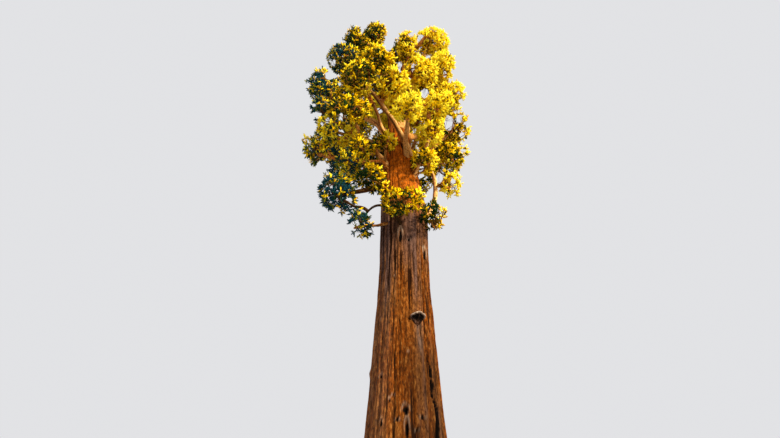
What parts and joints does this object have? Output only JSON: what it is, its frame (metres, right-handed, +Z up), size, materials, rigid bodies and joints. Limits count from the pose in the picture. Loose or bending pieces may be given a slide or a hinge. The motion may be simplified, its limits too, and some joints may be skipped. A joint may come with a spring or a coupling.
{
  "type": "giant sequoia tree",
  "caption": "Old giant sequoia: massive fluted trunk with flared foot, fire cleft and burl, gnarled boughs and a broad, lumpy, many-topped crown of needle foliage with open gaps.",
  "frame": {"origin": "middle of the flat cut under the trunk, at ground level", "axes": "+Z up the trunk, -Y towards the side the picture was taken from, +X to the right as seen from there"},
  "size_m": [11.9518, 11.4396, 40],
  "materials": {
    "trunk_bark": "deeply furrowed fibrous red-brown bark, matte, with grey-purple weathered strips",
    "bough_bark": "thin flaky bark, matte, pale orange-brown",
    "foliage_gold": "matte scale needles in sprays, sunlit yellow-green",
    "foliage_green": "matte scale needles in sprays, dark green to blue-green"
  },
  "bodies": {
    "root": {"bough_back_left": "bough_bark", "bough_back_right": "bough_bark", "bough_front_foot": "bough_bark", "bough_front_left": "bough_bark", "bough_front_up": "bough_bark", "bough_left_arch": "bough_bark", "bough_left_brown": "bough_bark", "bough_left_foot": "bough_bark", "bough_left_low": "bough_bark", "bough_left_up": "bough_bark", "bough_mid_left": "bough_bark", "bough_mid_peak": "bough_bark", "bough_right_elbow": "bough_bark", "bough_right_front": "bough_bark", "bough_right_leader": "bough_bark", "bough_right_tip": "bough_bark", "foliage_back_low": "foliage_green", "foliage_back_low_left": "foliage_green", "foliage_back_low_right": "foliage_gold", "foliage_back_mid": "foliage_green", "foliage_back_mid_left": "foliage_green", "foliage_back_mid_right": "foliage_gold", "foliage_back_top": "foliage_green", "foliage_back_up": "foliage_green", "foliage_back_up_left": "foliage_green", "foliage_back_up_right": "foliage_gold", "foliage_front_foot": "foliage_gold", "foliage_front_mid": "foliage_green", "foliage_front_up": "foliage_gold", "foliage_high_front": "foliage_gold", "foliage_left_foot": "foliage_green", "foliage_left_inner": "foliage_green", "foliage_left_low": "foliage_green", "foliage_left_low_inner": "foliage_green", "foliage_left_mid": "foliage_green", "foliage_left_mid_front": "foliage_green", "foliage_left_peak": "foliage_green", "foliage_left_tip_low": "foliage_green", "foliage_left_top": "foliage_green", "foliage_left_top_front": "foliage_green", "foliage_left_top_tip": "foliage_green", "foliage_left_up": "foliage_green", "foliage_left_up_front": "foliage_green", "foliage_left_up_tip": "foliage_green", "foliage_mid_inner": "foliage_gold", "foliage_mid_peak": "foliage_gold", "foliage_mid_top_front": "foliage_gold", "foliage_mid_top_right": "foliage_gold", "foliage_right_foot": "foliage_gold", "foliage_right_inner": "foliage_gold", "foliage_right_low": "foliage_gold", "foliage_right_low_tip": "foliage_gold", "foliage_right_mid": "foliage_gold", "foliage_right_mid_tip": "foliage_gold", "foliage_right_peak": "foliage_gold", "foliage_right_top": "foliage_gold", "foliage_right_up_front": "foliage_gold", "foliage_right_up_tip": "foliage_gold", "trunk": "trunk_bark", "trunk_burl": "trunk_bark"}
  },
  "joints": []
}
